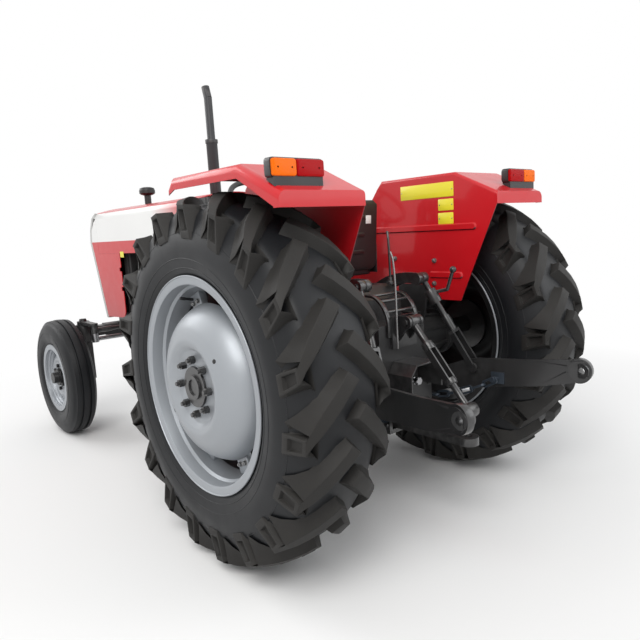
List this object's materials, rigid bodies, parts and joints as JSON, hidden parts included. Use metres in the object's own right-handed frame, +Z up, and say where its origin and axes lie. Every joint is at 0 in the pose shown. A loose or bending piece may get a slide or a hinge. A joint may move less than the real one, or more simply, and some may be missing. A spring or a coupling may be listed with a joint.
{
  "type": "farm tractor",
  "caption": "Two-wheel-drive utility tractor with flat-top fenders, open engine, upright exhaust, steered front axle and rear three-point lift.",
  "frame": {"origin": "on the ground, at the middle of the tractor's length and width", "axes": "+X forward, +Y to the driver's left, +Z up"},
  "size_m": [3.5051, 1.71, 2.1508],
  "materials": {
    "red": "gloss",
    "black": "satin",
    "silver": "satin",
    "tyre": "matte",
    "seat": "satin",
    "grille": "satin",
    "exhaust": "satin",
    "lamp": "gloss",
    "headlamp": "gloss",
    "plastic": "satin",
    "bright": "satin",
    "chain": "satin"
  },
  "bodies": {
    "chassis": {"axle_trumpets": "black", "dash_cowl": "plastic", "drawbar": "black", "engine_accessories": "black", "engine_block": "black", "exhaust_stack": "exhaust", "fan": "black", "fender_left": "red", "fender_right": "red", "footplates": "black", "front_axle_beam": "black", "front_support": "black", "gear_levers": "black", "gearbox": "black", "grille": "grille", "headlamps": "headlamp", "hood": "red", "lift_cover": "black", "manifolds": "black", "pedals": "black", "precleaner": "plastic", "pto_guard": "black", "radiator": "black", "rear_axle_case": "black", "seat": "seat", "seat_stand": "black", "side_panels": "red", "steering_cylinder": "black", "tail_lamps": "lamp", "top_link_bracket": "black"},
    "wheel_rear_left": {"rear_tyre_left": "tyre", "rear_wheel_left": "silver", "rear_hub_left": "black"},
    "wheel_rear_right": {"rear_tyre_right": "tyre", "rear_wheel_right": "silver", "rear_hub_right": "black"},
    "wheel_front_left": {"front_tyre_left": "tyre", "front_wheel_left": "silver"},
    "wheel_front_right": {"front_tyre_right": "tyre", "front_wheel_right": "silver"},
    "knuckle_left": {"knuckle_left": "black"},
    "knuckle_right": {"knuckle_right": "black"},
    "tie_rod": {"tie_rod": "black"},
    "steering_ram": {"steering_ram": "black"},
    "steering_wheel": {"steering_wheel": "plastic"},
    "lift_arms": {"lift_arms": "black"},
    "lower_link_left": {"lower_link_left": "black", "check_chain_left": "chain"},
    "lower_link_right": {"lower_link_right": "black", "check_chain_right": "chain"},
    "lift_rod_left": {"lift_rod_left": "black"},
    "lift_rod_right": {"lift_rod_right": "black"},
    "top_link": {"top_link": "black"},
    "pto_shaft": {"pto_shaft": "bright"}
  },
  "joints": [
    {"name": "rear_left_spin", "type": "hinge", "parent": "chassis", "child": "wheel_rear_left", "pos_m": [-0.834, 0.66, 0.7], "axis": [0, 1, 0], "continuous": true},
    {"name": "rear_right_spin", "type": "hinge", "parent": "chassis", "child": "wheel_rear_right", "pos_m": [-0.834, -0.66, 0.7], "axis": [0, 1, 0], "continuous": true},
    {"name": "steer_left", "type": "hinge", "parent": "chassis", "child": "knuckle_left", "pos_m": [1.381, 0.47, 0.69], "axis": [0, 0, 1], "range_deg": [-38, 38]},
    {"name": "steer_right", "type": "hinge", "parent": "chassis", "child": "knuckle_right", "pos_m": [1.381, -0.47, 0.69], "axis": [0, 0, 1], "range_deg": [-38.5, 38.5]},
    {"name": "front_left_spin", "type": "hinge", "parent": "knuckle_left", "child": "wheel_front_left", "pos_m": [1.381, 0.62, 0.378], "axis": [0, 1, 0], "continuous": true},
    {"name": "front_right_spin", "type": "hinge", "parent": "knuckle_right", "child": "wheel_front_right", "pos_m": [1.381, -0.62, 0.378], "axis": [0, 1, 0], "continuous": true},
    {"name": "tie_rod_swing", "type": "hinge", "parent": "knuckle_left", "child": "tie_rod", "pos_m": [1.181, 0.47, 0.679], "axis": [0, 0, 1], "range_deg": [-38.5, 38.5]},
    {"name": "ram_slide", "type": "slide", "parent": "chassis", "child": "steering_ram", "axis": [0, 1, 0], "range_m": [-0.125, 0.125]},
    {"name": "steering_wheel_turn", "type": "hinge", "parent": "chassis", "child": "steering_wheel", "pos_m": [-0.194, 0, 1.395], "axis": [-0.6157, 0, 0.788], "range_deg": [-540, 540]},
    {"name": "lift", "type": "hinge", "parent": "chassis", "child": "lift_arms", "pos_m": [-0.784, 0, 0.9], "axis": [0, 1, 0], "range_deg": [-42, 26]},
    {"name": "lower_link_left", "type": "hinge", "parent": "chassis", "child": "lower_link_left", "pos_m": [-0.894, 0.215, 0.48], "axis": [0, 1, 0], "range_deg": [-33, 20.5]},
    {"name": "lower_link_right", "type": "hinge", "parent": "chassis", "child": "lower_link_right", "pos_m": [-0.894, -0.215, 0.48], "axis": [0, 1, 0], "range_deg": [-33, 20.5]},
    {"name": "lift_rod_left_swing", "type": "hinge", "parent": "lift_arms", "child": "lift_rod_left", "pos_m": [-1.059, 0.16, 1.01], "axis": [0, 1, 0], "range_deg": [-26.5, 42.5]},
    {"name": "lift_rod_right_swing", "type": "hinge", "parent": "lift_arms", "child": "lift_rod_right", "pos_m": [-1.059, -0.16, 1.01], "axis": [0, 1, 0], "range_deg": [-26.5, 42.5]},
    {"name": "top_link_swing", "type": "hinge", "parent": "chassis", "child": "top_link", "pos_m": [-1.164, 0, 0.85], "axis": [0, 1, 0], "range_deg": [-8, 105]},
    {"name": "pto_spin", "type": "hinge", "parent": "chassis", "child": "pto_shaft", "pos_m": [-1.104, 0, 0.6], "axis": [1, 0, 0], "continuous": true}
  ],
  "couplings": [
    {"joint": "steer_right", "follows": "steer_left", "ratio": 1},
    {"joint": "tie_rod_swing", "follows": "steer_left", "ratio": -1},
    {"joint": "ram_slide", "follows": "steer_left", "m_per_rad": -0.1857},
    {"joint": "steering_wheel_turn", "follows": "steer_left", "ratio": 14},
    {"joint": "lower_link_left", "follows": "lift", "ratio": 0.7619},
    {"joint": "lower_link_right", "follows": "lift", "ratio": 0.7619},
    {"joint": "lift_rod_left_swing", "follows": "lift", "ratio": -1.0028},
    {"joint": "lift_rod_right_swing", "follows": "lift", "ratio": -1.0028}
  ]
}
